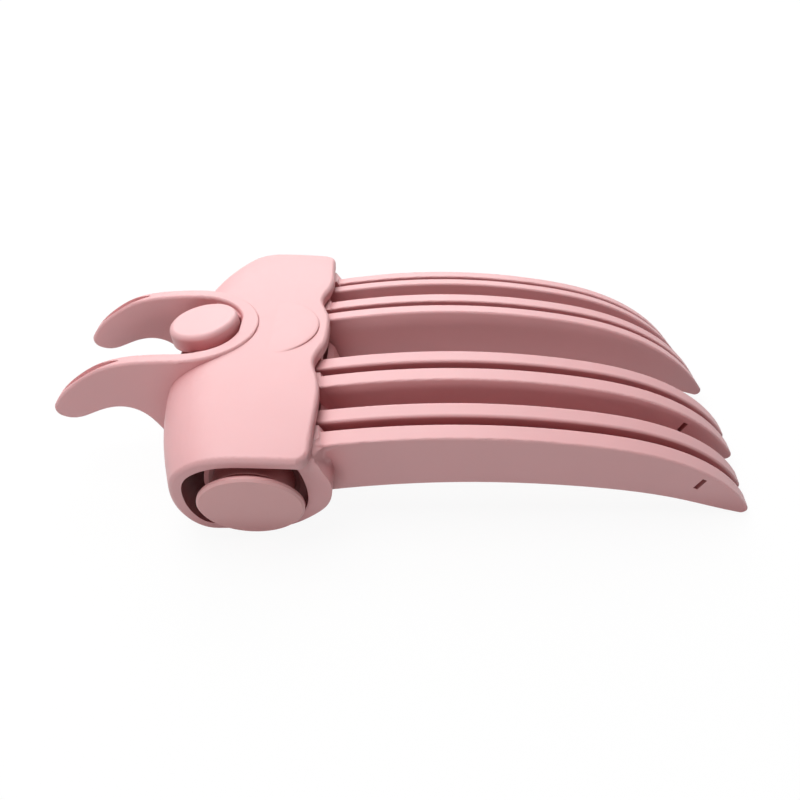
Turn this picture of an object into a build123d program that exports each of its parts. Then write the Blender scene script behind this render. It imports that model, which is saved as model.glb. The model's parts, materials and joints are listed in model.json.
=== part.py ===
from build123d import *
import math
import os

# Heated hair clip: two nested combs of curved fins that turn on a barrel.
# +X runs along the fins to their tips, +Y along the barrel, +Z up.
# The origin is at the middle of the base. All sizes are in millimetres.

# Arch that the fin tops follow across the clip
CREST_Z = 17.0
ARCH_RADIUS = 126.0

# Base of the sleeve, from the middle to each end
BASE_HALF_LENGTH = 24.9
END_SLOPE = 0.3

# Fins: side view with x along the fin and height from the arch
PAIR_PITCH = 11.6
PAIR_INSET = 4.2
PAIR_POSITIONS = (BASE_HALF_LENGTH - PAIR_INSET - PAIR_PITCH, BASE_HALF_LENGTH - PAIR_INSET)
PAIR_GAP = 1.5
FIN_EDGE = 0.35
INNER_FIN_THICKNESS = 2.55
OUTER_FIN_THICKNESS = 2.75
FIN_ROOT_X = -12.3
FIN_TOP = ((-12.3, -1.7), (9.0, 0.0), (24.0, -1.25), (33.0, -3.15), (40.3, -6.2), (44.4, -9.0))
FIN_TIP = (48.75, -13.9)
FIN_NOSE = (47.85, -14.85)
FIN_BOTTOM = ((45.0, -14.0), (39.0, -12.0), (25.0, -9.3), (8.5, -8.4), (-12.3, -10.5))
INNER_PAIR_REACH = 0.5
REACH_START_X = 30.0
SLOT_PLACE = (40.9, -8.9)
SLOT_LENGTH = 2.0
SLOT_WIDTH = 0.75
SLOT_LEAN = 62.0

# Sleeve of the housing: top and back outline at the middle and at the ends
WALL = 1.6
MIDDLE_OUTLINE = ((-6.0, 17.2), (-14.0, 17.6), (-21.0, 17.7), (-28.8, 16.9),
                  (-32.4, 13.9), (-32.8, 8.5), (-30.4, 3.0), (-24.5, -0.15))
END_OUTLINE = ((-6.0, 14.8), (-13.0, 15.4), (-19.0, 15.7), (-24.4, 15.1),
               (-28.2, 12.0), (-28.9, 7.8), (-28.0, 3.2), (-24.5, -0.15))
END_OUTLINE_Y = BASE_HALF_LENGTH + 4.1
BLEND_POWER = 2.5
SECTION_SPAN = END_OUTLINE_Y + 5.0
SECTION_STEPS = (-3, -2, -1, 0, 1, 2, 3)
WRAP_END_X = -22.2
SLEEVE_EDGE = 0.8
EAVE = ((0.0, -10.2), (4.5, -10.55), (9.0, -11.7), (12.5, -11.0), (16.0, -10.5), (20.5, -10.65))
EAVE_CORNER = ((1.1, -10.9), (3.4, -11.3), (4.5, -12.9), (4.9, -17.0))

# Crescent step in the roof in front of the rim
CRESCENT_RADIUS = 8.2
CRESCENT_NOSE = (-11.7, 17.1)
CRESCENT_TILT = 8.7

# Ears, horseshoe rim and button recess
EAR_OUTER_Y = 10.8
EAR_THICKNESS = 2.3
EAR_TOP = ((-19.0, 18.1), (-27.0, 18.1), (-33.0, 18.1), (-37.6, 17.8), (-41.9, 16.7), (-45.3, 14.7),
           (-48.0, 12.3))
EAR_TIP = ((-49.16, 10.6), (-48.3, 8.7))
EAR_UNDER = ((-46.3, 8.4), (-43.2, 9.5), (-40.2, 10.3), (-38.2, 10.1), (-36.5, 9.2), (-35.0, 7.5),
             (-31.5, 3.0))
RIM_NOSE_X = -20.8
RIM_NOSE_WIDTH = 2.5
RIM_CORNER = 7.5
EAR_EDGE = 0.5

# Button and its well in the recess floor
BUTTON_X = -28.5
FLOOR_Z = 16.5
FLOOR_TILT = 9.0
FLOOR_THICKNESS = 1.2
BUTTON_RADIUS = 5.15
BUTTON_HEIGHT = 2.3
BUTTON_EDGE = 0.8
BUTTON_TRAVEL = 0.8
BUTTON_CLEARANCE = 0.2
WELL_DEPTH = 1.2
WELL_FLOOR = 1.0
STEM_RADIUS = 1.5
STEM_CLEARANCE = 0.08

# Barrel, its end caps and what it holds
AXIS_X = -18.9
AXIS_Z = 7.8
BARREL_RADIUS = 5.4
BARREL_WALL = 0.7
CAP_LIP = 1.6
CAP_THICKNESS = 1.0
CAP_STANDOFF = 0.3
CAP_EDGE = 0.3
SPIGOT_LENGTH = 3.2
FIT = 0.05
CELL_TIP = 0.6
CONTACT_ROOM = 2.74
CONTACT_THICKNESS = 0.3
CONTACT_WIRE = 0.5
CONTACT_TURNS = 1.5
HANGER_Y = BASE_HALF_LENGTH - 5.1
HANGER_THICKNESS = 1.6
HANGER_WALL = 1.6
HANGER_X = (-24.0, -16.9)
HANGER_LOWER_X = -20.8

# Front wall of the outer comb
FRONT_OUTLINE = ((-17.0, 0.35), (-14.2, 1.2), (-11.3, 3.3), (-9.1, 5.9), (-8.4, 9.0), (-9.2, 12.2),
                 (-11.0, 15.4), (-12.2, 17.0))
FRONT_WALL = 1.4
ROOF_GAP = 0.45
NOTCH_CLEARANCE = 0.95
NOTCH_BOTTOM = -11.1
WALL_END = ((-1.5, -5.0), (0.0, 0.0), (1.2, 4.0), (2.1, 8.0), (1.8, 11.5), (0.3, 14.5), (-1.9, 17.5))
END_RIB_DEPTH = 3.5
END_RIB_Y = BASE_HALF_LENGTH - 0.4
LIP_GAP = 0.6
CAP_GAP = 0.35
WEB_Y = BASE_HALF_LENGTH - 2.3
WEB_THICKNESS = 1.6
WEB_TOP_Z = 12.2
BUSH_WALL = 0.6
RING_WALL = 0.6
SPRING_RELIEF = 0.5

# Spine of the inner comb and its screws
SPINE_X = (-16.8, -13.5)
SPINE_CLEARANCE = 0.6
SPINE_UNDER_Z = AXIS_Z + BARREL_RADIUS + SPINE_CLEARANCE
SPINE_HALF_LENGTH = BASE_HALF_LENGTH - 4.3
RISER_X = -14.2
RISER_BOTTOM = -3.6
SCREW_Y = BASE_HALF_LENGTH - 9.7
SCREW_HEAD_RADIUS = 1.3
SCREW_HEAD_HEIGHT = 0.8
SCREW_RADIUS = 0.8
BOSS_RADIUS = 1.6
BOSS_REACH = 1.3

# Heater
STRIP_THICKNESS = 0.4
STRIP_MARGIN = 2.1
STRIP_END_X = 38.0
BUS_X = (-12.9, -12.3)
BUS_Z = (SPINE_UNDER_Z - 1.8, SPINE_UNDER_Z - 0.1)
CUTOUT_SIZE = (2.0, 4.0, 1.2)
CUTOUT_Y = SCREW_Y - 4.2
CUTOUT_CLEARANCE = 0.3
RIBBON_THICKNESS = 0.3
RIBBON_WIDTH = 2.4
RIBBON_CLEARANCE = 0.5
RIBBON_Y = (RIBBON_WIDTH + PAIR_GAP) / 2 + INNER_FIN_THICKNESS + RIBBON_CLEARANCE - PAIR_POSITIONS[0]

# Torsion spring round the barrel
SPRING_WIRE = 0.7
SPRING_TURNS = 5.4
SPRING_START_ANGLE = 5.0
SPRING_FRONT_LEG = 3.5
SPRING_BACK_LEG = 8.4
SPRING_CLEARANCE = 0.15
SPRING_OUTER_RADIUS = BARREL_RADIUS + SPRING_CLEARANCE + SPRING_WIRE
WIRE_SIDES = 8

# Control board, switch and socket, measured down the button's axis from the recess floor
BOARD_THICKNESS = 0.8
BOARD_REACH = (-3.2, 3.2)
BOARD_HALF_WIDTH = 9.0
SWITCH_SIZE = 4.5
SWITCH_HEIGHT = 1.6
SWITCH_GAP = 0.8
PLUNGER_RADIUS = 1.0
BOARD_SCREW_Y = 7.2
BOARD_SCREW_RADIUS = 0.7
BOARD_BOSS_RADIUS = 1.6
SOCKET_WIDTH = 8.94
SOCKET_HEIGHT = 3.2
SOCKET_LENGTH = 7.3
SOCKET_SETBACK = 1.55
SOCKET_MOUTH = AXIS_X - BUTTON_X - SPRING_OUTER_RADIUS - SOCKET_SETBACK - SOCKET_LENGTH
SOCKET_SHELL = 0.3
SOCKET_CLEARANCE = 0.25
TONGUE_SIZE = (5.4, 6.6, 0.7)

# Ends of the coil: one beside the ribbon, one beside the socket
SPRING_START_Y = RIBBON_Y + (RIBBON_WIDTH + SPRING_WIRE) / 2 + RIBBON_CLEARANCE
SPRING_END_Y = (SOCKET_WIDTH + SPRING_WIRE) / 2 + SPRING_CLEARANCE

FAR = 80.0

os.makedirs("parts", exist_ok=True)


def write(name, shape):
    """Writes one node's solids and prints their size."""
    export_step(shape, f"parts/{name}.step")
    box = shape.bounding_box()
    low = [round(v, 2) for v in box.min]
    high = [round(v, 2) for v in box.max]
    print(name, len(shape.solids()), round(shape.volume, 1), low, high)


def block(x, y, z):
    """A box from ranges along each axis."""
    size = (x[1] - x[0], y[1] - y[0], z[1] - z[0])
    return Pos(x[0], y[0], z[0]) * Box(*size, align=(Align.MIN, Align.MIN, Align.MIN))


def side_plate(face, start, end):
    """Extrudes a side view, drawn with x along X and y up, between two places along Y."""
    plane = Plane(origin=(0, start, 0), x_dir=(1, 0, 0), z_dir=(0, -1, 0))
    return extrude(plane * face, -(end - start))


# Fins

def fin_plane(position):
    """Plane of a fin plate at an arc length from the middle: x along the fin, y up."""
    angle = position / ARCH_RADIUS
    origin = (0, ARCH_RADIUS * math.sin(angle), CREST_Z - ARCH_RADIUS * (1 - math.cos(angle)))
    return Plane(origin=origin, x_dir=(1, 0, 0), z_dir=(0, -math.cos(angle), math.sin(angle)))


def reached(point, reach):
    """Moves a point of the fin's outline outward by a share that grows towards the tip."""
    share = max(0.0, (point[0] - REACH_START_X) / (FIN_TIP[0] - REACH_START_X))
    return (point[0] + reach * share ** 2, point[1])


def fin_outline(reach, depth=0.0, end_x=None):
    """Side view of a fin; with a depth it is the band that lies that far inside."""
    top_points = [reached(p, reach) for p in FIN_TOP]
    bottom_points = [reached(p, reach) for p in FIN_BOTTOM]
    if end_x is None:
        top = Spline(*top_points, reached(FIN_TIP, reach))
        nose = ThreePointArc(top @ 1, *nose_points(reach))
        belly = Spline(nose @ 1, *bottom_points)
    else:
        top = Spline(*[(x, y - depth) for x, y in top_points if x < end_x])
        nose = Line(top @ 1, (end_x, (top @ 1).Y - 2 * depth))
        belly = Spline(nose @ 1, *[(x, y + depth) for x, y in bottom_points if x < end_x - depth])
    root = Line(belly @ 1, top @ 0)
    return make_face([top, nose, belly, root])


def nose_points(reach):
    """Middle and end of the rounded nose."""
    tip = reached(FIN_TIP, reach)
    end = reached(FIN_NOSE, reach)
    middle = ((tip[0] + end[0]) / 2 + 0.25, (tip[1] + end[1]) / 2 - 0.22)
    return middle, end


def plate_range(inner):
    """How far a fin's two faces lie from the middle of its pair, outward positive."""
    if inner:
        return (-PAIR_GAP / 2 - INNER_FIN_THICKNESS, -PAIR_GAP / 2)
    return (PAIR_GAP / 2, PAIR_GAP / 2 + OUTER_FIN_THICKNESS)


def on_fin(face, pair, side, faces):
    """Extrudes a side view in the plane of a pair, between two distances outward."""
    plane = fin_plane(side * pair)
    return extrude(plane.offset(-side * faces[0]) * face, -side * (faces[1] - faces[0]))


def fin(pair, side, inner):
    """One fin of a pair, with its top edges rounded from the root to the tip."""
    reach = INNER_PAIR_REACH if pair == PAIR_POSITIONS[0] else 0.0
    plate = on_fin(fin_outline(reach), pair, side, plate_range(inner))
    top_edges = plate.edges().filter_by(GeomType.BSPLINE).sort_by(SortBy.LENGTH)[-2:]
    return fillet(top_edges, FIN_EDGE)


def fin_places():
    """Every pair and side, from the near side to the far side."""
    near = [(pair, -1) for pair in reversed(PAIR_POSITIONS)]
    far = [(pair, 1) for pair in PAIR_POSITIONS]
    return near + far


# Housing sleeve

def outline_at(y):
    """Top and back outline of the sleeve at a place along the barrel."""
    share = (abs(y) / END_OUTLINE_Y) ** BLEND_POWER
    pairs = zip(MIDDLE_OUTLINE, END_OUTLINE)
    return [(m[0] + (e[0] - m[0]) * share, m[1] + (e[1] - m[1]) * share) for m, e in pairs]


def inset(points, depth):
    """Moves each point of an outline inward, square to the outline; the last one runs along X."""
    moved = []
    for index, (x, z) in enumerate(points):
        before = points[max(index - 1, 0)]
        after = points[min(index + 1, len(points) - 1)]
        run, rise = after[0] - before[0], after[1] - before[1]
        if index == len(points) - 1:
            run, rise = 1.0, 0.0
        length = math.hypot(run, rise)
        moved.append((x - rise / length * depth, z + run / length * depth))
    return moved


def sleeve_volume(depth):
    """Everything inside the sleeve's outer face, less a skin of the given depth."""
    sections = []
    for step in SECTION_STEPS:
        y = step / SECTION_STEPS[-1] * SECTION_SPAN
        points = [Vector(x, y, z) for x, z in inset(outline_at(y), depth)]
        curve = Spline(*points, tangents=(points[1] - points[0], (1, 0, 0)))
        bottom = Line(curve @ 1, (points[0].X, y, points[-1].Z))
        front = Line(bottom @ 1, curve @ 0)
        sections.append(Face(Wire([curve, bottom, front])))
    return loft(sections)


def between_ends(extra=0.0):
    """The space between the two slanted end planes."""
    low, high = -5.0, 30.0
    half_low = BASE_HALF_LENGTH + extra + END_SLOPE * low
    half_high = BASE_HALF_LENGTH + extra + END_SLOPE * high
    corners = [(-half_low, low), (half_low, low), (half_high, high), (-half_high, high)]
    face = make_face(Polyline(*corners, close=True))
    return extrude(Plane.YZ * face, FAR, both=True)


def eave_trim():
    """The space behind the scalloped front edge, seen from above."""
    half = [*EAVE, *[(BASE_HALF_LENGTH + y, x) for y, x in EAVE_CORNER]]
    near = [(x, -y) for y, x in reversed(half[1:])]
    far = [(x, y) for y, x in half]
    edge = Spline(*near, *far)
    back = Polyline(edge @ 1, (-FAR, (edge @ 1).Y), (-FAR, (edge @ 0).Y), edge @ 0)
    plan = make_face([edge, back])
    return extrude(Plane.XY.offset(-1) * plan, FAR)


def rounded_sleeve():
    """The sleeve as a solid body with soft edges at its eave and both ends."""
    body = sleeve_volume(0.0) & between_ends() & eave_trim()
    bounds = [(edge, edge.bounding_box()) for edge in body.edges()]
    arches = [edge for edge, box in bounds if box.size.Z > AXIS_Z and box.min.X < WRAP_END_X]
    eave = [edge for edge, box in bounds if box.size.Y > BASE_HALF_LENGTH and box.min.Z > AXIS_Z]
    return fillet(arches + eave, SLEEVE_EDGE)


def horseshoe_plan(share):
    """Plan of the horseshoe, open to the left: outer edge at a share of 0, inner edge at 1."""
    half = EAR_OUTER_Y - share * EAR_THICKNESS
    nose = RIM_NOSE_X - share * RIM_NOSE_WIDTH
    corner = RIM_CORNER - share * EAR_THICKNESS
    line = FilletPolyline((-FAR, -half), (nose, -half), (nose, half), (-FAR, half), radius=corner)
    return make_face([line, Line(line @ 1, line @ 0)])


def ear_side_view():
    """Side view of an ear and the rim: a drooping horn that runs into the housing."""
    top = Spline(*EAR_TOP, EAR_TIP[0])
    tip = ThreePointArc(top @ 1, (EAR_TIP[0][0] - 0.05, EAR_TIP[0][1] - 0.9), EAR_TIP[1])
    under = Spline(tip @ 1, *EAR_UNDER)
    inside = Polyline(under @ 1, (EAR_TOP[0][0], 5.0), top @ 0)
    return make_face([top, tip, under, inside])


def crescent():
    """Cutter of the step in front of the rim: a tilted disc whose nose lies deepest."""
    tilt = math.radians(CRESCENT_TILT)
    plane = Plane(origin=(CRESCENT_NOSE[0], 0, CRESCENT_NOSE[1]),
                  x_dir=(math.cos(tilt), 0, -math.sin(tilt)), z_dir=(math.sin(tilt), 0, math.cos(tilt)))
    return extrude(plane * Pos(-CRESCENT_RADIUS, 0) * Circle(CRESCENT_RADIUS), 5)


def horseshoe():
    """Ears and rim in one piece, with soft edges."""
    body = side_plate(ear_side_view(), -EAR_OUTER_Y, EAR_OUTER_Y) & extrude(horseshoe_plan(0), FAR)
    body -= extrude(horseshoe_plan(1), FAR)
    rims = [edge for edge in body.edges() if is_ear_edge(edge)]
    return fillet(rims, EAR_EDGE)


def is_ear_edge(edge):
    """True for the edges that run along the ears, round their tips and round the rim."""
    box = edge.bounding_box()
    curved = edge.geom_type != GeomType.LINE or box.min.Z > AXIS_Z
    return curved and box.size.Y < EAR_THICKNESS and box.min.X < BUTTON_X or box.min.Z > FLOOR_Z


def floor_plane(height=0.0):
    """Plane of the recess floor at the button, raised by a height along the button's axis."""
    tilt = math.radians(FLOOR_TILT)
    plane = Plane(origin=(BUTTON_X, 0, FLOOR_Z), x_dir=(math.cos(tilt), 0, math.sin(tilt)),
                  z_dir=(-math.sin(tilt), 0, math.cos(tilt)))
    return plane.offset(height)


def on_axis(radius, low, high, x=0.0, y=0.0):
    """A cylinder along the button's axis between two heights above the recess floor."""
    return extrude(floor_plane(low) * Pos(x, y) * Circle(radius), high - low)


def slab(low, high):
    """A large slab parallel to the recess floor between two heights."""
    return extrude(floor_plane(low) * Rectangle(FAR, FAR), high - low)


def tilted_block(x, half_width, heights):
    """A box square to the button's axis."""
    face = Pos((x[0] + x[1]) / 2, 0) * Rectangle(x[1] - x[0], 2 * half_width)
    return extrude(floor_plane(heights[0]) * face, heights[1] - heights[0])


def barrel_cylinder(radius, start, end):
    """A cylinder on the barrel's axis between two places along Y."""
    return side_plate(Pos(AXIS_X, AXIS_Z) * Circle(radius), start, end)


# Heights of what hangs under the button, from the recess floor
BUTTON_BASE = -WELL_DEPTH + BUTTON_TRAVEL + 0.1
STEM_END = -WELL_DEPTH - WELL_FLOOR - 0.3
SWITCH_TOP = STEM_END - SWITCH_GAP - 0.1
PLUNGER_END = SWITCH_TOP - 0.2
BOARD_TOP = SWITCH_TOP - SWITCH_HEIGHT
BOARD_UNDER = BOARD_TOP - BOARD_THICKNESS
SOCKET_MIDDLE = BOARD_UNDER - SOCKET_HEIGHT / 2


def socket_outline(grow=0.0):
    """Front view of the socket: a flat slot with round ends."""
    return RectangleRounded(SOCKET_WIDTH + 2 * grow, SOCKET_HEIGHT + 2 * grow,
                            SOCKET_HEIGHT / 2 + grow - 0.01)


def along_socket(face, start, end):
    """Extrudes a front view along the socket, from its mouth inward."""
    frame = floor_plane(SOCKET_MIDDLE)
    plane = Plane(origin=frame.from_local_coords(Vector(start, 0, 0)), x_dir=(0, 1, 0),
                  z_dir=frame.x_dir)
    return extrude(plane * face, end - start)


def hanger(side):
    """A bracket under the roof that clasps the barrel from behind."""
    start, end = sorted((side * HANGER_Y, side * (HANGER_Y + HANGER_THICKNESS)))
    post = block(HANGER_X, (start, end), (AXIS_Z, 25.0))
    behind = block((-FAR, HANGER_X[1]), (start, end), (AXIS_Z, 25))
    below = block((-FAR, HANGER_LOWER_X), (start, end), (-5, AXIS_Z))
    ring = barrel_cylinder(BARREL_RADIUS + HANGER_WALL, start, end) & (behind + below)
    bore = barrel_cylinder(BARREL_RADIUS, start - 1, end + 1)
    return ((post + ring) & sleeve_volume(WALL / 2)) - bore


def top_shell():
    """Sleeve with eave, ears, horseshoe rim, button well, hangers and bosses."""
    core = sleeve_volume(WALL)
    opening = block((WRAP_END_X, 0), (-FAR, FAR), (-5, WALL + 1))
    shell = rounded_sleeve() - core - opening
    shell -= extrude(horseshoe_plan(0.5), FAR) & slab(0, 20)
    inner = extrude(horseshoe_plan(1), FAR)
    pad = (inner & slab(-FLOOR_THICKNESS, 0) & sleeve_volume(WALL / 4))
    well_height = WELL_DEPTH + WELL_FLOOR
    well = on_axis(BUTTON_RADIUS + BUTTON_CLEARANCE + WELL_FLOOR, -well_height, -FLOOR_THICKNESS / 2)
    shell = shell - crescent() + (horseshoe() - core) + pad + (well & sleeve_volume(WALL / 4))
    shell -= on_axis(BUTTON_RADIUS + BUTTON_CLEARANCE, -WELL_DEPTH, 5)
    shell -= on_axis(STEM_RADIUS + STEM_CLEARANCE, -well_height - 1, 5)
    for side in (-1, 1):
        shell += hanger(side)
        boss = Pos(sum(SPINE_X) / 2, side * SCREW_Y, SPINE_UNDER_Z) * Cylinder(
            BOSS_RADIUS, 10, align=(Align.CENTER, Align.CENTER, Align.MIN))
        shell += (boss & sleeve_volume(WALL / 2)) - (boss & spine_below_boss())
        post = on_axis(BOARD_BOSS_RADIUS, BOARD_TOP, -FLOOR_THICKNESS / 2, 0, side * BOARD_SCREW_Y)
        shell += post & sleeve_volume(WALL / 2)
        shell -= on_axis(BOARD_SCREW_RADIUS, BOARD_TOP - 1, BOARD_TOP + 1.6, 0, side * BOARD_SCREW_Y)
        shell -= screw_shank(side)
    shell -= along_socket(socket_outline(SOCKET_CLEARANCE), SOCKET_MOUTH - 5, SOCKET_MOUTH + 4)
    return shell & block((-FAR, FAR), (-FAR, FAR), (0, FAR))


def spine_below_boss():
    """The part of the spine that is left under a roof boss."""
    return block((-FAR, FAR), (-FAR, FAR), (0, SPINE_UNDER_Z + BOSS_REACH))


def screw_shank(side):
    """Shank of a comb screw, up through the spine into its boss."""
    return Pos(sum(SPINE_X) / 2, side * SCREW_Y, SPINE_UNDER_Z) * Cylinder(
        SCREW_RADIUS, 2.9, align=(Align.CENTER, Align.CENTER, Align.MIN))


def comb_screws():
    """Two screws that hold the inner comb under the roof."""
    screws = []
    for side in (-1, 1):
        head = Pos(sum(SPINE_X) / 2, side * SCREW_Y, SPINE_UNDER_Z) * Cylinder(
            SCREW_HEAD_RADIUS, SCREW_HEAD_HEIGHT, align=(Align.CENTER, Align.CENTER, Align.MAX))
        screws.append(head + screw_shank(side))
    return Compound(children=[Solid(s.solids()[0].wrapped) for s in screws])


def board_screws():
    """Two screws that hold the control board to its posts."""
    screws = []
    for side in (-1, 1):
        head = on_axis(2 * BOARD_SCREW_RADIUS, BOARD_UNDER - 0.8, BOARD_UNDER, 0, side * BOARD_SCREW_Y)
        shank = on_axis(BOARD_SCREW_RADIUS, BOARD_UNDER, BOARD_TOP + 1.6, 0, side * BOARD_SCREW_Y)
        screws.append(head + shank)
    return Compound(children=[Solid(s.solids()[0].wrapped) for s in screws])


# Combs

def heater_strip(pair, side):
    """Heating strip in the middle of an inner fin."""
    reach = INNER_PAIR_REACH if pair == PAIR_POSITIONS[0] else 0.0
    low, high = plate_range(True)
    middle = (low + high) / 2
    faces = (middle - STRIP_THICKNESS / 2, middle + STRIP_THICKNESS / 2)
    return on_fin(fin_outline(reach, STRIP_MARGIN, STRIP_END_X), pair, side, faces)


def heater_bus():
    """Flat conductor along the roots of the inner fins."""
    half = SPINE_HALF_LENGTH - 0.6
    return block(BUS_X, (-half, half), BUS_Z)


def inner_comb():
    """Spine under the eave with the inner fin of each pair."""
    roof = sleeve_volume(WALL)
    half = SPINE_HALF_LENGTH
    spine = block(SPINE_X, (-half, half), (SPINE_UNDER_Z, 25)) & roof
    comb = spine
    for pair, side in fin_places():
        riser = make_face(Polyline((RISER_X, RISER_BOTTOM), (FIN_ROOT_X + 0.3, RISER_BOTTOM),
                                   (FIN_ROOT_X + 0.3, 6), (RISER_X, 6), close=True))
        comb += on_fin(riser, pair, side, plate_range(True)) & roof
        comb += fin(pair, side, True)
        comb -= heater_strip(pair, side)
    comb -= heater_bus()
    for side in (-1, 1):
        comb -= Pos(sum(SPINE_X) / 2, side * SCREW_Y, SPINE_UNDER_Z + BOSS_REACH) * Cylinder(
            BOSS_RADIUS + FIT, 10, align=(Align.CENTER, Align.CENTER, Align.MIN))
        comb -= screw_shank(side)
    return comb


def front_side_view(depth):
    """Side view of the front wall between its outer face and a depth inside it."""
    outer_curve = Spline(*FRONT_OUTLINE)
    inner_curve = Spline(*front_inner_points(depth)[::-1])
    low = Line(inner_curve @ 1, outer_curve @ 0)
    high = Line(outer_curve @ 1, inner_curve @ 0)
    return make_face([outer_curve, high, inner_curve, low])


def front_inner_points(depth):
    """Points of the front wall's outline moved inward, square to it."""
    moved = []
    for index, (x, z) in enumerate(FRONT_OUTLINE):
        before = FRONT_OUTLINE[max(index - 1, 0)]
        after = FRONT_OUTLINE[min(index + 1, len(FRONT_OUTLINE) - 1)]
        run, rise = after[0] - before[0], after[1] - before[1]
        length = math.hypot(run, rise)
        moved.append((x - rise / length * depth, z + run / length * depth))
    return moved


def behind_front(depth):
    """The space behind the front wall, less a skin of the given depth."""
    curve = Spline(*front_inner_points(depth))
    back = Polyline(curve @ 1, (-30, (curve @ 1).Y), (-30, (curve @ 0).Y), curve @ 0)
    return side_plate(make_face([curve, back]), -FAR, FAR)


def between_shoulders():
    """The space between the rounded ends of the front wall, seen along X."""
    half = [(BASE_HALF_LENGTH + y, z) for y, z in WALL_END]
    right = Spline(*half)
    left = Spline(*[(-y, z) for y, z in reversed(half)])
    face = make_face([right, Line(right @ 1, left @ 0), left, Line(left @ 1, right @ 0)])
    return extrude(Plane.YZ * face, FAR, both=True)


def pivot_web(side):
    """Ring round a bush on the barrel, with a web to the front wall."""
    start, end = sorted((side * WEB_Y, side * (WEB_Y + WEB_THICKNESS)))
    bush = BARREL_RADIUS + FIT + BUSH_WALL
    web = block((AXIS_X, 0), (start, end), (AXIS_Z - bush, WEB_TOP_Z)) & behind_front(FRONT_WALL / 2)
    ring = barrel_cylinder(bush + RING_WALL, start, end) & sleeve_volume(WALL + ROOF_GAP)
    return web + ring - barrel_cylinder(bush, start - 1, end + 1)


def tip_slot(pair, side):
    """Small slanted slot through an outer fin near its tip."""
    slot = Pos(*SLOT_PLACE) * Rot(0, 0, SLOT_LEAN) * Rectangle(SLOT_LENGTH, SLOT_WIDTH)
    return on_fin(slot, pair, side, (0, 2 * OUTER_FIN_THICKNESS))


def notch(pair, side):
    """Opening in the front wall that an inner fin passes through."""
    low, high = plate_range(True)
    face = make_face(Polyline((-25, NOTCH_BOTTOM), (0, NOTCH_BOTTOM), (0, 10), (-25, 10), close=True))
    return on_fin(face, pair, side, (low - NOTCH_CLEARANCE, high + NOTCH_CLEARANCE))


def outer_comb():
    """Front wall with the outer fin of each pair, its lower lip and the pivot webs."""
    wall = side_plate(front_side_view(FRONT_WALL), -FAR, FAR)
    for side in (-1, 1):
        start, end = sorted((side * END_RIB_Y, side * FAR))
        wall += side_plate(front_side_view(END_RIB_DEPTH), start, end)
    wall = (wall & between_shoulders()) - barrel_cylinder(BARREL_RADIUS + LIP_GAP, -FAR, FAR)
    for side in (-1, 1):
        start, end = sorted((side * END_RIB_Y, side * FAR))
        wall -= barrel_cylinder(BARREL_RADIUS + CAP_LIP + CAP_GAP, start, end)
    roof = block((-30, 5), (-FAR, FAR), (10, 30)) - sleeve_volume(WALL + ROOF_GAP)
    wall -= roof & block((-30, -6.5), (-FAR, FAR), (10, 30))
    comb = wall
    for pair, side in fin_places():
        comb += fin(pair, side, False) - behind_front(FRONT_WALL)
        comb -= tip_slot(pair, side)
    for pair, side in fin_places():
        comb -= notch(pair, side)
    for side in (-1, 1):
        comb += pivot_web(side)
    reach = max(SPRING_END_Y, -SPRING_START_Y) + SPRING_WIRE + SPRING_RELIEF
    return comb - barrel_cylinder(SPRING_OUTER_RADIUS + SPRING_RELIEF, -reach, reach)


def pivot_bush(side):
    """Bush between the barrel and a pivot ring."""
    start, end = sorted((side * WEB_Y, side * (WEB_Y + WEB_THICKNESS)))
    bush = BARREL_RADIUS + FIT + BUSH_WALL
    return barrel_cylinder(bush, start, end) - barrel_cylinder(BARREL_RADIUS + FIT, start - 1, end + 1)


# Barrel

def cap_place():
    """Distance along Y from the middle to the inner face of a cap, on the barrel's axis."""
    return BASE_HALF_LENGTH + CAP_STANDOFF + END_SLOPE * AXIS_Z


def cell_half_length():
    """Half the length of the cell: what the spigots and contacts leave of the barrel."""
    return cap_place() - SPIGOT_LENGTH - CONTACT_ROOM


def barrel_tube():
    """Tube with slanted ends."""
    tube = barrel_cylinder(BARREL_RADIUS, -FAR, FAR) - barrel_cylinder(BARREL_RADIUS - BARREL_WALL, -FAR, FAR)
    return tube & between_ends(CAP_STANDOFF)


def end_cap(side):
    """Round cap, parallel to the slanted end, with a spigot inside the tube."""
    angle = math.atan(END_SLOPE)
    plane = Plane(origin=(AXIS_X, side * cap_place(), AXIS_Z), x_dir=(1, 0, 0),
                  z_dir=(0, side * math.cos(angle), -math.sin(angle)))
    disc = extrude(plane * Circle(BARREL_RADIUS + CAP_LIP), CAP_THICKNESS)
    disc = chamfer(disc.edges().filter_by(GeomType.CIRCLE), CAP_EDGE)
    start, end = sorted((side * (cap_place() - SPIGOT_LENGTH), side * (cap_place() + 5)))
    spigot = barrel_cylinder(BARREL_RADIUS - BARREL_WALL - FIT, start, end) & between_ends(CAP_STANDOFF)
    return disc + spigot


def battery_cell():
    """Round cell with a raised positive end."""
    radius = BARREL_RADIUS - BARREL_WALL - FIT
    half = cell_half_length()
    cell = barrel_cylinder(radius, CELL_TIP - half, half)
    return cell + barrel_cylinder(radius / 3, -half, CELL_TIP - half)


def contact_plate():
    """Contact disc with a raised middle, between the near spigot and the cell."""
    start = -(cap_place() - SPIGOT_LENGTH)
    radius = BARREL_RADIUS - BARREL_WALL - FIT
    disc = barrel_cylinder(radius, start, start + CONTACT_THICKNESS)
    return disc + barrel_cylinder(radius / 4, start + CONTACT_THICKNESS, -cell_half_length())


def contact_spring():
    """Small coil between the cell and the far spigot."""
    start = cell_half_length() + CONTACT_WIRE / 2
    end = cap_place() - SPIGOT_LENGTH - CONTACT_WIRE / 2
    path = Helix((end - start) / CONTACT_TURNS, end - start, BARREL_RADIUS / 2,
                 center=(AXIS_X, start, AXIS_Z), direction=(0, 1, 0))
    return wire_along(path, CONTACT_WIRE)


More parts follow.
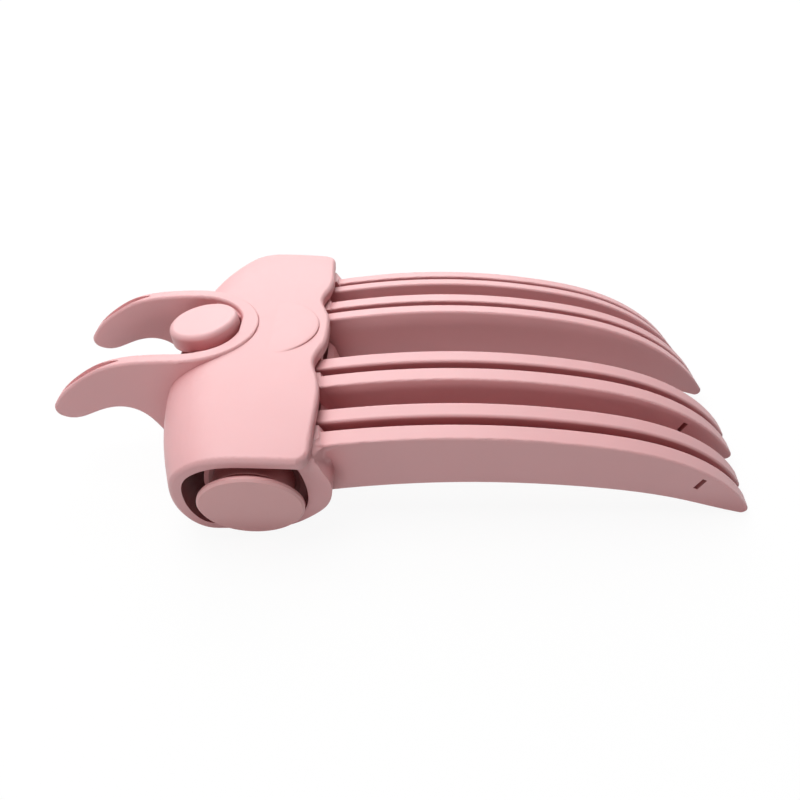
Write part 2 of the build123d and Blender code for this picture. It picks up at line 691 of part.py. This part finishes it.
def wire_along(path, width):
    """Spring wire along a path."""
    section = Plane(origin=path @ 0, z_dir=path % 0) * RegularPolygon(width / 2, WIRE_SIDES)
    return sweep(section, path=path)


def torsion_spring():
    """Coil round the barrel with a leg in front and one behind it, as wound with the clamp open."""
    width = SPRING_END_Y - SPRING_START_Y
    coil = Helix(width / SPRING_TURNS, width, SPRING_OUTER_RADIUS - SPRING_WIRE / 2,
                 center=(AXIS_X, SPRING_START_Y, AXIS_Z), direction=(0, 1, 0), lefthand=True)
    coil = coil.rotate(Axis((AXIS_X, 0, AXIS_Z), (0, 1, 0)), 90 - SPRING_START_ANGLE)
    front = Line(coil @ 0 - (coil % 0) * SPRING_FRONT_LEG, coil @ 0)
    back = Line(coil @ 1, coil @ 1 + (coil % 1) * SPRING_BACK_LEG)
    return wire_along(Wire([front, coil, back]), SPRING_WIRE)


# Button, switch and board

def power_button():
    """Round button with a soft edge and a stem."""
    cap = on_axis(BUTTON_RADIUS, BUTTON_BASE, BUTTON_HEIGHT)
    top = cap.faces().sort_by(Axis(floor_plane().origin, floor_plane().z_dir))[-1].edges()
    return fillet(top, BUTTON_EDGE) + on_axis(STEM_RADIUS, STEM_END, BUTTON_BASE)


def switch_plunger():
    """Plunger of the switch, under the stem."""
    return on_axis(PLUNGER_RADIUS, PLUNGER_END, STEM_END)


def tact_switch():
    """Square switch body with the hole of its plunger."""
    half = SWITCH_SIZE / 2
    body = tilted_block((-half, half), half, (BOARD_TOP, SWITCH_TOP))
    return body - on_axis(PLUNGER_RADIUS + FIT, PLUNGER_END - BUTTON_TRAVEL - 0.1, SWITCH_TOP + 1)


def control_board():
    """Board with holes for its screws."""
    board = tilted_block(BOARD_REACH, BOARD_HALF_WIDTH, (BOARD_UNDER, BOARD_TOP))
    for side in (-1, 1):
        board -= on_axis(BOARD_SCREW_RADIUS, BOARD_UNDER - 1, BOARD_TOP + 1, 0, side * BOARD_SCREW_Y)
    return board


def charging_socket():
    """Metal shell of the socket, open at its mouth."""
    outer = along_socket(socket_outline(), SOCKET_MOUTH, SOCKET_MOUTH + SOCKET_LENGTH)
    inner = along_socket(socket_outline(-SOCKET_SHELL), SOCKET_MOUTH - 1,
                         SOCKET_MOUTH + SOCKET_LENGTH - SOCKET_SHELL)
    return outer - inner


def socket_tongue():
    """Tongue that carries the contacts inside the socket."""
    length, width, height = TONGUE_SIZE
    end = SOCKET_MOUTH + SOCKET_LENGTH - SOCKET_SHELL
    return along_socket(Rectangle(width, height), end - length, end)


def thermal_cutout():
    """Small cut-out against the underside of the spine."""
    x, y, z = CUTOUT_SIZE
    rise = SPINE_UNDER_Z - z - AXIS_Z
    left = AXIS_X + math.sqrt((BARREL_RADIUS + CUTOUT_CLEARANCE) ** 2 - rise ** 2)
    return block((left, left + x), (CUTOUT_Y - y / 2, CUTOUT_Y + y / 2), (SPINE_UNDER_Z - z, SPINE_UNDER_Z))


def heater_ribbon():
    """Flat cable from the board over the barrel to the heater bus."""
    under = SPINE_UNDER_Z - RIBBON_THICKNESS
    path = Polyline((-25.5, 12.2), (-22.4, under + 1.4), (-18.0, under + 1.4), (-17.0, under),
                    (BUS_X[0] - 0.05, under - 0.2))
    face = trace(path, RIBBON_THICKNESS)
    return side_plate(face, RIBBON_Y - RIBBON_WIDTH / 2, RIBBON_Y + RIBBON_WIDTH / 2)


write("top_shell", top_shell())
write("inner_comb", inner_comb())
for number, (pair, side) in enumerate(fin_places(), start=1):
    write(f"heater_strip_{number}", heater_strip(pair, side))
write("heater_bus", heater_bus())
write("heater_ribbon", heater_ribbon())
write("thermal_cutout", thermal_cutout())
write("comb_screws", comb_screws())
write("barrel_tube", barrel_tube())
write("end_cap_near", end_cap(-1))
write("end_cap_far", end_cap(1))
write("battery_cell", battery_cell())
write("contact_plate", contact_plate())
write("contact_spring", contact_spring())
write("control_board", control_board())
write("board_screws", board_screws())
write("tact_switch", tact_switch())
write("charging_socket", charging_socket())
write("socket_tongue", socket_tongue())
write("torsion_spring", torsion_spring())
write("outer_comb", outer_comb())
write("pivot_bush_near", pivot_bush(-1))
write("pivot_bush_far", pivot_bush(1))
write("power_button", power_button())
write("switch_plunger", switch_plunger())
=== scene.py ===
import bmesh
import bpy
import json
import math
from mathutils import Matrix, Vector


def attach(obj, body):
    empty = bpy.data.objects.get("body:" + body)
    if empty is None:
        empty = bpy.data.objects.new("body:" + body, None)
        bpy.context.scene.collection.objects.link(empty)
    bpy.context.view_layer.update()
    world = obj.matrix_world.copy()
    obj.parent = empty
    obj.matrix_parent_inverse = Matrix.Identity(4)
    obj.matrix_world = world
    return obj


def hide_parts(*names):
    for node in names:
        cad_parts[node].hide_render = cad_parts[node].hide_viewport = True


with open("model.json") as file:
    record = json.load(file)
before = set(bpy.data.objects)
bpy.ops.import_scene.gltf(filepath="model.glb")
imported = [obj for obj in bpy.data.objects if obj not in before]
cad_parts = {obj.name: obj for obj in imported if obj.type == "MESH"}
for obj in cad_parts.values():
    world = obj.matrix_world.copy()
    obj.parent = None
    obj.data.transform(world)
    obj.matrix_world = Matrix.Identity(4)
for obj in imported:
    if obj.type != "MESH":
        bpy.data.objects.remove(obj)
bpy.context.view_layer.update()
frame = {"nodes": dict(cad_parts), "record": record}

MM = 0.001

# Camera of the photograph: place in metres, tilt in degrees, focal length in millimetres
CAMERA_PLACE = (0.00036, -0.1141, 0.0827)
CAMERA_TILT = 55.49
CAMERA_LENS = 39.6

# Light: level of the surround, then name, place, aim, size and watts of each soft box
WORLD_LEVEL = 0.11
LAMPS = (
    ("back_box", (-0.06, 0.42, 0.34), (0, 0, 0), 0.45, 1.8),
    ("top_box", (-0.18, 0.02, 0.58), (0, 0, 0), 0.5, 2.8),
    ("front_fill", (-0.12, -0.6, 0.02), (0, 0, 0.01), 0.25, 1.3),
)

# Floor: size in metres, grey under the light, and strength and share of its own white as it is seen
FLOOR_SIZE = 4.0
FLOOR_GREY = 0.4
FLOOR_GLOW = 1.13
FLOOR_GLOW_SHARE = 0.82

# Colours in linear light
PINK = (0.80, 0.43, 0.44)
PALE_PINK = (0.81, 0.45, 0.46)
CAP_PINK = (0.80, 0.43, 0.43)

# Painted shade in hollows: its tint, its reach in millimetres, and the openness at which it is full and gone
PAINTED_SHADE_TINT = (0.72, 0.44, 0.45)
PAINTED_SHADE_REACH = 6.0
PAINTED_SHADE_RANGE = (0.1, 0.9)

# All lengths from here on are in millimetres, and angles in degrees.
# Skins: distance at which corners merge, angle from which an edge is sharp, and weight of large faces
MERGE_DISTANCE = 0.001
SHARP_ANGLE = 24
FACE_WEIGHT = 60

# Rim: middle of its half circles, then half width, nose and corner radius of the solid's outlines.
# Its shift sets in at RIM_CORE from the middle, fades out over RIM_FADE outside the rim, stops at
# RIM_REACH at the latest, and upwards it grows from RIM_FOOT_Z on.
RIM_MIDDLE = -31.4
RIM_INNER = (8.5, -23.3, 5.2)
RIM_OUTER = (10.8, -20.8, 7.5)
RIM_CORE = 6.0
RIM_REACH = 15.5
RIM_FADE = 4.0
RIM_FOOT_Z = 12.5
RIM_FOOT_FADE = 1.5
SEARCH_REACH = 20.0
SEARCH_STEPS = 40

# Rim beside the button: how far and up to which angle the inner edge comes nearer, and the well's edge
NOSE_TRIM = 0.38
NOSE_SPAN = 50
BUTTON_X = -28.5
WELL_RADIUS = 5.3
WELL_FADE = 0.6

# Leaf grooves of the ears: place and size, least half width and depth, and how the width leans and swells
GROOVE_X = (-47.9, -39.0)
GROOVE_Y = 9.65
GROOVE_WIDTH = 1.5
GROOVE_DEPTH = 0.8
GROOVE_LEAST = (0.03, 0.02)
GROOVE_LEAN = (1.35, 0.7)
GROOVE_SWELL = 0.7
GROOVE_STEPS = 36
GROOVE_CLEARANCE = 2
ABOVE_ALL = 40

# Raised field in front of the rim: outline, rise along X, and its edge as (share of the radius, drop)
PAD_MIDDLE = -19.88
PAD_RADIUS = 8.22
PAD_BACK = -22.2
PAD_RISE = 0.42
PAD_SINK = 0.05
PAD_RISE_X = -19.8
PAD_RISE_LENGTH = 7.8
PAD_BED_Z = 16.9
PAD_EDGE = ((0.02, 0), (0.2, 0), (0.4, 0), (0.6, 0), (0.75, 0), (0.86, 0.01), (0.93, 0.04), (0.965, 0.09),
            (0.985, 0.15), (0.996, 0.22), (1.0, 0.3))
PAD_STEPS = 144

# Roof of the shell under the raised field: height, fall to the sides, and fall towards the eave
ROOF_Z = 17.68
ROOF_SIDE_FALL = 0.0014
ROOF_FRONT_FALL = 0.16
ROOF_FRONT_X = -17.0
ROOF_FRONT_LENGTH = 6.0

# Shoulder of the front wall, seen along Y, and where it lies free between the fins
SHOULDER = ((-11.2, 20.0), (-11.2, 12.6), (-9.9, 11.4), (-9.25, 9.8), (-8.3, 7.4), (-7.0, 7.4),
            (-7.0, 20.0))
SHOULDER_SPANS = ((-20.3, -12.5), (-9.2, 9.2), (12.5, 20.3))

# Ends of the front wall, outside the fins: where they start, and how far and from what height they go back
WALL_END_Y = 23.9
WALL_FRONT_X = -11
WALL_SETBACK = 0.9
WALL_SETBACK_Z = 9.0
WALL_SETBACK_FADE = 3.5

# Height of the end caps, as a share of the solid's
CAP_HEIGHT_SHARE = 0.92


def link(tree, source, target):
    """Joins two sockets."""
    tree.links.new(source, target)


def new_node(tree, kind, **inputs):
    """Adds a shader node and sets its inputs by name, with spaces written as underscores."""
    node = tree.nodes.new(kind)
    for name, value in inputs.items():
        node.inputs[name.replace("_", " ")].default_value = value
    return node


def new_material(name):
    """An empty node material with its shader and output."""
    material = bpy.data.materials.new(name)
    material.use_nodes = True
    tree = material.node_tree
    return material, tree, tree.nodes["Principled BSDF"]


def grain_bump(tree, shader, scale, distance, strength):
    """Fine moulded grain as bump, in metres of height."""
    place = tree.nodes.new("ShaderNodeTexCoord")
    grain = new_node(tree, "ShaderNodeTexNoise", Scale=scale, Detail=3.0, Roughness=0.6)
    bump = new_node(tree, "ShaderNodeBump", Strength=strength, Distance=distance)
    link(tree, place.outputs["Object"], grain.inputs["Vector"])
    link(tree, grain.outputs["Fac"], bump.inputs["Height"])
    link(tree, bump.outputs["Normal"], shader.inputs["Normal"])
    return place


def colour_ramp(tree, places, colours):
    """Ramp from one colour to another between two places."""
    ramp = tree.nodes.new("ShaderNodeValToRGB")
    for stop, place, colour in zip(ramp.color_ramp.elements, places, colours):
        stop.position = place
        stop.color = (*colour, 1)
    return ramp


def two_tone(tree, shader, place, scale, first, second):
    """Slow drift between two close colours, as in moulded plastic."""
    drift = new_node(tree, "ShaderNodeTexNoise", Scale=scale, Detail=2.0)
    ramp = colour_ramp(tree, (0.35, 0.65), (first, second))
    link(tree, place.outputs["Object"], drift.inputs["Vector"])
    link(tree, drift.outputs["Fac"], ramp.inputs["Fac"])
    link(tree, ramp.outputs["Color"], shader.inputs["Base Color"])


def rough_drift(tree, shader, place, scale, low, high):
    """Roughness that varies a little over the surface."""
    drift = new_node(tree, "ShaderNodeTexNoise", Scale=scale, Detail=4.0)
    span = new_node(tree, "ShaderNodeMapRange", To_Min=low, To_Max=high)
    link(tree, place.outputs["Object"], drift.inputs["Vector"])
    link(tree, drift.outputs["Fac"], span.inputs["Value"])
    link(tree, span.outputs["Result"], shader.inputs["Roughness"])


def paint_hollow_shade(tree, shader):
    """Painted shade: the base colour turns a darker, deeper pink in hollows and gaps, the more closed in the
    surface is.
    """
    source = shader.inputs["Base Color"].links[0].from_socket
    hollow_shade = new_node(tree, "ShaderNodeAmbientOcclusion", Distance=PAINTED_SHADE_REACH * MM)
    hollow_shade.samples = 8
    shade_tint = colour_ramp(tree, PAINTED_SHADE_RANGE, (PAINTED_SHADE_TINT, (1, 1, 1)))
    shaded_colour = tree.nodes.new("ShaderNodeMix")
    shaded_colour.data_type = "RGBA"
    shaded_colour.blend_type = "MULTIPLY"
    shaded_colour.inputs[0].default_value = 1.0
    link(tree, hollow_shade.outputs["AO"], shade_tint.inputs["Fac"])
    link(tree, source, shaded_colour.inputs[6])
    link(tree, shade_tint.outputs["Color"], shaded_colour.inputs[7])
    link(tree, shaded_colour.outputs[2], shader.inputs["Base Color"])


def soft_plastic(name, colour, low=0.42, high=0.52):
    """Satin plastic with fine spark grain, a little light under its skin, and painted shade in its hollows.
    """
    material, tree, shader = new_material(name)
    shader.inputs["Subsurface Weight"].default_value = 0.12
    shader.inputs["Subsurface Radius"].default_value = (1.0, 0.35, 0.3)
    shader.inputs["Subsurface Scale"].default_value = 0.6 * MM
    shader.inputs["Specular IOR Level"].default_value = 0.6
    place = grain_bump(tree, shader, 6000.0, 0.02 * MM, 0.25)
    darker = tuple(c * 0.97 for c in colour)
    two_tone(tree, shader, place, 60.0, darker, colour)
    # Painted shade: darker base colour in hollows and gaps.
    paint_hollow_shade(tree, shader)
    rough_drift(tree, shader, place, 900.0, low, high)
    return material


def plain_metal(name, colour, roughness, stretch):
    """Drawn or plated metal with fine lines along the axis whose stretch is small."""
    material, tree, shader = new_material(name)
    shader.inputs["Metallic"].default_value = 1.0
    place = tree.nodes.new("ShaderNodeTexCoord")
    mapping = new_node(tree, "ShaderNodeMapping", Scale=stretch)
    lines = new_node(tree, "ShaderNodeTexNoise", Scale=3000.0, Detail=4.0)
    bump = new_node(tree, "ShaderNodeBump", Strength=0.2, Distance=0.01 * MM)
    link(tree, place.outputs["Object"], mapping.inputs["Vector"])
    link(tree, mapping.outputs["Vector"], lines.inputs["Vector"])
    link(tree, lines.outputs["Fac"], bump.inputs["Height"])
    link(tree, bump.outputs["Normal"], shader.inputs["Normal"])
    two_tone(tree, shader, place, 300.0, tuple(c * 0.9 for c in colour), colour)
    shader.inputs["Roughness"].default_value = roughness
    return material


def hard_plastic(name, colour, roughness):
    """Small technical mouldings, films and laminates."""
    material, tree, shader = new_material(name)
    place = grain_bump(tree, shader, 2500.0, 0.02 * MM, 0.3)
    two_tone(tree, shader, place, 400.0, tuple(c * 0.85 for c in colour), colour)
    shader.inputs["Roughness"].default_value = roughness
    return material


def slot_materials():
    """A material for each slot of the record."""
    return {
        "body_plastic": soft_plastic("body_plastic_look", PINK),
        "comb_plastic": soft_plastic("comb_plastic_look", PINK),
        "barrel_plastic": soft_plastic("barrel_plastic_look", CAP_PINK, 0.48, 0.58),
        "button_plastic": soft_plastic("button_plastic_look", PALE_PINK, 0.38, 0.46),
        # The bush's colour is the body's pink, darkened as painted shade.
        "bush_plastic": hard_plastic("bush_shaded_look", (0.42, 0.17, 0.17), 0.5),
        "heater_ceramic": hard_plastic("ceramic_look", (0.66, 0.63, 0.58), 0.7),
        "copper": plain_metal("copper_look", (0.8, 0.42, 0.26), 0.3, (1.0, 0.05, 1.0)),
        "ribbon_film": hard_plastic("film_look", (0.5, 0.2, 0.03), 0.25),
        "component_case": hard_plastic("case_look", (0.02, 0.02, 0.022), 0.5),
        "steel": plain_metal("steel_look", (0.55, 0.55, 0.56), 0.32, (1.0, 0.05, 1.0)),
        "nickel": plain_metal("nickel_look", (0.66, 0.64, 0.6), 0.25, (0.05, 1.0, 1.0)),
        "cell_sleeve": hard_plastic("sleeve_look", (0.02, 0.09, 0.25), 0.22),
        "board_laminate": hard_plastic("board_look", (0.01, 0.09, 0.03), 0.35),
    }


def dress_nodes():
    """Gives every CAD node the material of its slot."""
    materials = slot_materials()
    for entry in frame["record"]["subparts"]:
        mesh = frame["nodes"][entry["node"]].data
        mesh.materials.clear()
        mesh.materials.append(materials[entry["material_slot"]])


def seen_directly(tree):
    """1 for camera, mirror and glass rays, else 0."""
    path = tree.nodes.new("ShaderNodeLightPath")
    total = path.outputs["Is Camera Ray"]
    for name in ("Is Glossy Ray", "Is Transmission Ray"):
        joined = tree.nodes.new("ShaderNodeMath")
        joined.operation = "MAXIMUM"
        link(tree, total, joined.inputs[0])
        link(tree, path.outputs[name], joined.inputs[1])
        total = joined.outputs[0]
    return total


def clean_copy(name, node):
    """A free copy of a CAD node's mesh, in millimetres, with its split corners merged."""
    shape = bmesh.new()
    shape.from_mesh(frame["nodes"][node].data)
    bmesh.ops.scale(shape, vec=(1 / MM, 1 / MM, 1 / MM), verts=shape.verts)
    bmesh.ops.remove_doubles(shape, verts=shape.verts, dist=MERGE_DISTANCE)
    mesh = bpy.data.meshes.new(name)
    shape.to_mesh(mesh)
    shape.free()
    return add_object(name, mesh)


def add_object(name, data):
    """Puts a mesh, lamp or camera in the scene."""
    thing = bpy.data.objects.new(name, data)
    bpy.context.scene.collection.objects.link(thing)
    return thing


def ring_solid(name, rings):
    """Closed solid through rings of points, with a flat lid at both ends."""
    shape = bmesh.new()
    rows = [[shape.verts.new(point) for point in ring] for ring in rings]
    count = len(rows[0])
    for low, high in zip(rows, rows[1:]):
        for i in range(count):
            j = (i + 1) % count
            shape.faces.new((low[i], low[j], high[j], high[i]))
    shape.faces.new(rows[0][::-1])
    shape.faces.new(rows[-1])
    bmesh.ops.recalc_face_normals(shape, faces=shape.faces)
    mesh = bpy.data.meshes.new(name)
    shape.to_mesh(mesh)
    shape.free()
    return add_object(name, mesh)


def apply_modifiers(piece):
    """Makes the modifiers of a piece part of its mesh."""
    bpy.context.view_layer.update()
    graph = bpy.context.evaluated_depsgraph_get()
    mesh = bpy.data.meshes.new_from_object(piece.evaluated_get(graph))
    piece.modifiers.clear()
    piece.data = mesh


def carve(piece, tool, operation):
    """Joins a tool to a piece or cuts it away, then removes the tool."""
    modifier = piece.modifiers.new("carve", "BOOLEAN")
    modifier.operation = operation
    modifier.solver = "EXACT"
    modifier.object = tool
    apply_modifiers(piece)
    bpy.data.objects.remove(tool)


def smooth_step(value):
    """0 below 0, 1 above 1, soft in between."""
    value = min(max(value, 0.0), 1.0)
    return value * value * (3 - 2 * value)


def reach(angle, half, nose, corner):
    """Distance from the middle of the rim to a rounded outline, in a direction."""
    low, high = 0.0, SEARCH_REACH
    for _ in range(SEARCH_STEPS):
        far = (low + high) / 2
        x = RIM_MIDDLE + far * math.cos(angle)
        y = far * abs(math.sin(angle))
        out_x = x - (nose - corner)
        out_y = y - (half - corner)
        if out_x < 0:
            inside = y < half
        elif out_y < 0:
            inside = x < nose
        else:
            inside = math.hypot(out_x, out_y) < corner
        low, high = (far, high) if inside else (low, far)
    return low


def round_rim(piece):
    """Draws both outlines of the rim's nose into half circles, and leaves the button's well as it is."""
    for vertex in piece.data.vertices:
        x, y, z = vertex.co
        far = math.hypot(x - RIM_MIDDLE, y)
        if x <= RIM_MIDDLE or far > RIM_REACH or z < RIM_FOOT_Z:
            continue
        angle = math.atan2(y, x - RIM_MIDDLE)
        inner = reach(angle, *RIM_INNER)
        outer = reach(angle, *RIM_OUTER)
        trim = NOSE_TRIM * (1 - smooth_step(abs(angle) / math.radians(NOSE_SPAN)))
        shift_in = RIM_INNER[0] - trim - inner
        shift_out = RIM_OUTER[0] - outer
        if far < inner:
            shift = shift_in * smooth_step((far - RIM_CORE) / (inner - RIM_CORE))
        elif far < outer:
            shift = shift_in + (shift_out - shift_in) * (far - inner) / (outer - inner)
        else:
            shift = shift_out * (1 - smooth_step((far - outer) / RIM_FADE))
        from_button = math.hypot(x - BUTTON_X, y)
        above_foot = smooth_step((z - RIM_FOOT_Z) / RIM_FOOT_FADE)
        shift *= above_foot * smooth_step((from_button - WELL_RADIUS) / WELL_FADE)
        vertex.co = (x + shift * math.cos(angle), y + shift * math.sin(angle), z)


def top_line(piece, side):
    """Points and upward directions along the top of an ear."""
    start, end = GROOVE_X
    middle = side * GROOVE_Y
    places = []
    for i in range(GROOVE_STEPS + 1):
        x = start + (end - start) * i / GROOVE_STEPS
        _, hit, _, _ = piece.ray_cast((x, middle, ABOVE_ALL), (0, 0, -1))
        places.append(hit.copy())
    lines = []
    for i, place in enumerate(places):
        along = places[min(i + 1, GROOVE_STEPS)] - places[max(i - 1, 0)]
        along.normalize()
        lines.append((place, Vector((-along.z, 0, along.x))))
    return lines


def groove_tool(piece, side):
    """Leaf-shaped scoop along the top of an ear, widest near the tip."""
    rings = []
    least_width, least_depth = GROOVE_LEAST
    for i, (place, up) in enumerate(top_line(piece, side)):
        share = i / GROOVE_STEPS
        swell = 4 * share * (1 - share)
        lean = GROOVE_LEAN[0] - GROOVE_LEAN[1] * share
        width = GROOVE_WIDTH / 2 * (swell * lean) ** GROOVE_SWELL + least_width
        depth = GROOVE_DEPTH * swell ** 0.5 + least_depth
        lid = place + up * GROOVE_CLEARANCE
        ring = [lid + Vector((0, width, 0)), lid - Vector((0, width, 0))]
        for turn in range(0, 181, 20):
            angle = math.radians(turn)
            ring.append(place - up * depth * math.sin(angle) - Vector((0, width * math.cos(angle), 0)))
        rings.append(ring)
    return ring_solid("groove_tool", rings)


def roof_pad():
    """Raised round field in front of the rim: its nose stands proud, and its back runs into the roof."""
    rings = []
    for share, drop in PAD_EDGE:
        ring = []
        for i in range(PAD_STEPS):
            angle = 2 * math.pi * i / PAD_STEPS
            edge = PAD_RADIUS
            if PAD_MIDDLE + edge * math.cos(angle) < PAD_BACK:
                edge = (PAD_BACK - PAD_MIDDLE) / math.cos(angle)
            x = PAD_MIDDLE + edge * share * math.cos(angle)
            y = edge * share * math.sin(angle)
            front_fall = ROOF_FRONT_FALL * smooth_step((x - ROOF_FRONT_X) / ROOF_FRONT_LENGTH)
            roof = ROOF_Z - ROOF_SIDE_FALL * y * y - front_fall
            lift = (PAD_RISE + PAD_SINK) * smooth_step((x - PAD_RISE_X) / PAD_RISE_LENGTH) - PAD_SINK
            ring.append((x, y, roof + lift - drop))
        rings.append(ring)
    rings.append([(x, y, PAD_BED_Z) for x, y, _ in rings[-1]])
    return ring_solid("pad_tool", rings)


def finish_skin(piece, body, node):
    """Shades a reworked piece, brings it to metres and puts it in its node's place."""
    for polygon in piece.data.polygons:
        polygon.use_smooth = True
    piece.data.set_sharp_from_angle(angle=math.radians(SHARP_ANGLE))
    weigh = piece.modifiers.new("weigh", "WEIGHTED_NORMAL")
    weigh.keep_sharp = True
    weigh.weight = FACE_WEIGHT
    apply_modifiers(piece)
    piece.data.transform(Matrix.Scale(MM, 4))
    piece.data.materials.clear()
    piece.data.materials.append(frame["nodes"][node].data.materials[0])
    place_skin(piece, body, node)


def place_skin(piece, body, node):
    """Lets a piece stand for its node and move with its body."""
    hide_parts(node)
    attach(piece, body)


def shell_skin():
    """The top shell with a round rim nose, a leaf groove on each ear and its raised field."""
    skin = clean_copy("shell_skin", "top_shell")
    round_rim(skin)
    bpy.context.view_layer.update()
    for tool in [groove_tool(skin, side) for side in (-1, 1)]:
        carve(skin, tool, "DIFFERENCE")
    carve(skin, roof_pad(), "UNION")
    finish_skin(skin, "housing", "top_shell")


def shoulder_tool(start, end):
    """Prism that takes the shoulder of the front wall back, between two places along Y."""
    return ring_solid("shoulder_tool", [[(x, y, z) for x, z in SHOULDER] for y in (start, end)])


def comb_skin():
    """The outer comb with its wall set back beside the fins, as deep under the eave as in the photograph."""
    skin = clean_copy("outer_comb_skin", "outer_comb")
    for vertex in skin.data.vertices:
        if abs(vertex.co.y) > WALL_END_Y and vertex.co.x > WALL_FRONT_X:
            vertex.co.x -= WALL_SETBACK * smooth_step((vertex.co.z - WALL_SETBACK_Z) / WALL_SETBACK_FADE)
    for start, end in SHOULDER_SPANS:
        carve(skin, shoulder_tool(start, end), "DIFFERENCE")
    finish_skin(skin, "clamp", "outer_comb")


def cap_skin(node):
    """An end cap as low as the end of the barrel in the photograph, so that a gap shows above it."""
    skin = add_object(node + "_skin", frame["nodes"][node].data.copy())
    low = min(vertex.co.z for vertex in skin.data.vertices)
    for vertex in skin.data.vertices:
        vertex.co.z = low + (vertex.co.z - low) * CAP_HEIGHT_SHARE
    place_skin(skin, "housing", node)


def light_world(level):
    """Even white surround, seen as plain white."""
    world = bpy.data.worlds.new("surround")
    bpy.context.scene.world = world
    world.use_nodes = True
    tree = world.node_tree
    output = tree.nodes["World Output"]
    dim = tree.nodes["Background"]
    dim.inputs["Strength"].default_value = level
    dim.inputs["Color"].default_value = (1, 1, 1, 1)
    white = new_node(tree, "ShaderNodeBackground", Color=(1, 1, 1, 1), Strength=1.0)
    mix = tree.nodes.new("ShaderNodeMixShader")
    link(tree, seen_directly(tree), mix.inputs[0])
    link(tree, dim.outputs[0], mix.inputs[1])
    link(tree, white.outputs[0], mix.inputs[2])
    link(tree, mix.outputs[0], output.inputs["Surface"])


def floor():
    """White floor that keeps a pale shadow."""
    half = FLOOR_SIZE / 2
    mesh = bpy.data.meshes.new("floor")
    corners = [(-half, -half, 0), (half, -half, 0), (half, half, 0), (-half, half, 0)]
    mesh.from_pydata(corners, [], [(0, 1, 2, 3)])
    plane = add_object("floor", mesh)
    material, tree, shader = new_material("floor_white")
    shader.inputs["Base Color"].default_value = (FLOOR_GREY, FLOOR_GREY, FLOOR_GREY, 1)
    shader.inputs["Roughness"].default_value = 0.9
    glow = new_node(tree, "ShaderNodeEmission", Color=(1, 1, 1, 1), Strength=FLOOR_GLOW)
    mix = tree.nodes.new("ShaderNodeMixShader")
    amount = tree.nodes.new("ShaderNodeMath")
    amount.operation = "MULTIPLY"
    amount.inputs[1].default_value = FLOOR_GLOW_SHARE
    link(tree, seen_directly(tree), amount.inputs[0])
    link(tree, amount.outputs[0], mix.inputs[0])
    link(tree, shader.outputs[0], mix.inputs[1])
    link(tree, glow.outputs[0], mix.inputs[2])
    link(tree, mix.outputs[0], tree.nodes["Material Output"].inputs["Surface"])
    mesh.materials.append(material)


def area_lamp(name, place, aim, size, power):
    """Square soft box that points at a place."""
    data = bpy.data.lights.new(name, "AREA")
    data.shape = "SQUARE"
    data.size = size
    data.energy = power
    lamp = add_object(name, data)
    lamp.location = place
    lamp.rotation_euler = (Vector(aim) - Vector(place)).to_track_quat("-Z", "Y").to_euler()


def camera():
    """The photograph's camera."""
    data = bpy.data.cameras.new("camera")
    data.lens = CAMERA_LENS
    data.sensor_width = 36.0
    data.clip_start = 0.005
    eye = add_object("camera", data)
    eye.location = CAMERA_PLACE
    eye.rotation_euler = (math.radians(CAMERA_TILT), 0, 0)
    bpy.context.scene.camera = eye


bpy.context.scene.view_settings.view_transform = "Standard"
camera()
light_world(WORLD_LEVEL)
floor()
for lamp in LAMPS:
    area_lamp(*lamp)
dress_nodes()
shell_skin()
comb_skin()
cap_skin("end_cap_near")
cap_skin("end_cap_far")
